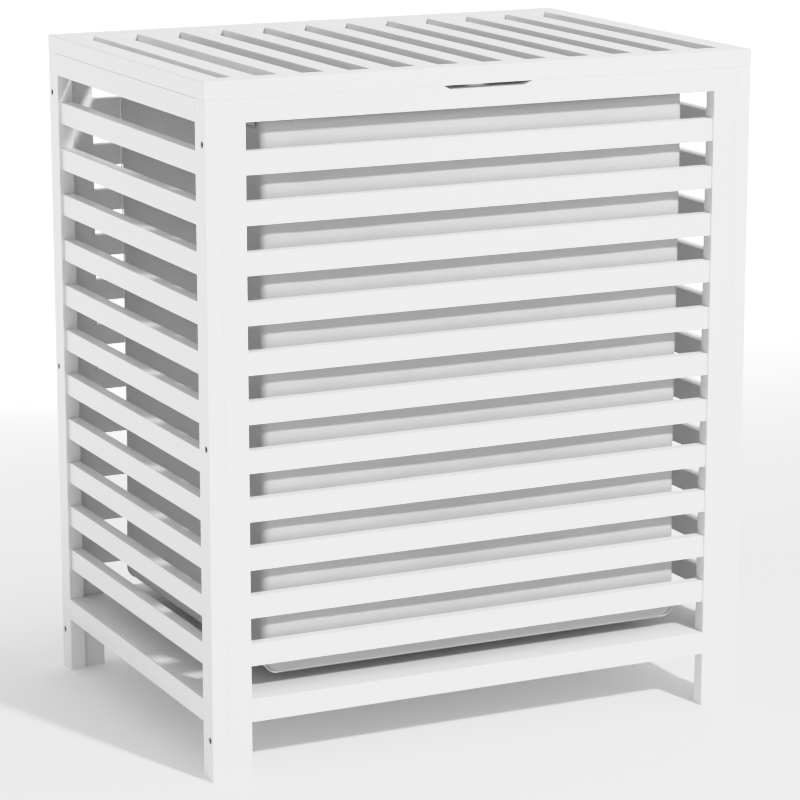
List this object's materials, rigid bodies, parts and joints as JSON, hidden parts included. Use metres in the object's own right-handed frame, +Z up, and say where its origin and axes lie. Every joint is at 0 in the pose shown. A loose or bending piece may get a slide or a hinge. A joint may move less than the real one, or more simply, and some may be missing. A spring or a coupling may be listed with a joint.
{
  "type": "laundry hamper",
  "caption": "White slatted wooden laundry hamper on short legs, with a hinged slatted lid, a finger notch and a removable hanging fabric liner.",
  "frame": {"origin": "on the floor under the middle of the hamper's overall box, hinge barrels included", "axes": "+Z up, the front with the finger notch faces -Y, +X to the right seen from the front"},
  "size_m": [0.579, 0.4178, 0.67],
  "materials": {
    "white_wood": "satin white paint over smooth wood",
    "white_board": "matt white board",
    "dark_screw": "black oxide",
    "bright_steel": "zinc plated",
    "white_metal": "white powder coat",
    "white_plastic": "moulded",
    "grey_fabric": "plain weave, light grey"
  },
  "bodies": {
    "cabinet": {"front_left_stile": "white_wood", "front_right_stile": "white_wood", "front_top_rail": "white_wood", "front_bottom_rail": "white_wood", "front_slat_01": "white_wood", "front_slat_02": "white_wood", "front_slat_03": "white_wood", "front_slat_04": "white_wood", "front_slat_05": "white_wood", "front_slat_06": "white_wood", "front_slat_07": "white_wood", "front_slat_08": "white_wood", "front_slat_09": "white_wood", "front_slat_10": "white_wood", "front_slat_11": "white_wood", "back_left_stile": "white_wood", "back_right_stile": "white_wood", "back_top_rail": "white_wood", "back_bottom_rail": "white_wood", "back_slats": "white_wood", "left_front_stile": "white_wood", "left_rear_stile": "white_wood", "left_top_rail": "white_wood", "left_bottom_rail": "white_wood", "left_slats": "white_wood", "right_front_stile": "white_wood", "right_rear_stile": "white_wood", "right_top_rail": "white_wood", "right_bottom_rail": "white_wood", "right_slats": "white_wood", "base_panel": "white_board", "base_panel_screws": "dark_screw", "frame_screws": "dark_screw", "rod_holders": "white_plastic", "rod_holder_screws": "bright_steel", "hinge_left_cabinet_leaf": "bright_steel", "hinge_right_cabinet_leaf": "bright_steel", "hinge_pins": "bright_steel", "cabinet_hinge_screws": "bright_steel"},
    "lid": {"lid_front_rail": "white_wood", "lid_back_rail": "white_wood", "lid_left_rail": "white_wood", "lid_right_rail": "white_wood", "lid_slat_01": "white_wood", "lid_slat_02": "white_wood", "lid_slat_03": "white_wood", "lid_slat_04": "white_wood", "lid_slat_05": "white_wood", "lid_slat_06": "white_wood", "lid_slat_07": "white_wood", "lid_slat_08": "white_wood", "lid_slat_09": "white_wood", "lid_slat_10": "white_wood", "lid_slat_11": "white_wood", "hinge_left_lid_leaf": "bright_steel", "hinge_right_lid_leaf": "bright_steel", "lid_hinge_screws": "bright_steel"},
    "liner": {"liner_bag": "grey_fabric", "liner_rod_left": "white_metal", "liner_rod_right": "white_metal"}
  },
  "joints": [
    {"name": "lid_hinge", "type": "hinge", "parent": "cabinet", "child": "lid", "pos_m": [0, 0.2061, 0.65285], "axis": [-1, 0, 0], "range_deg": [0, 100]},
    {"name": "liner_lift", "type": "slide", "parent": "cabinet", "child": "liner", "axis": [0, 0, 1], "range_m": [0, 0.009]}
  ]
}
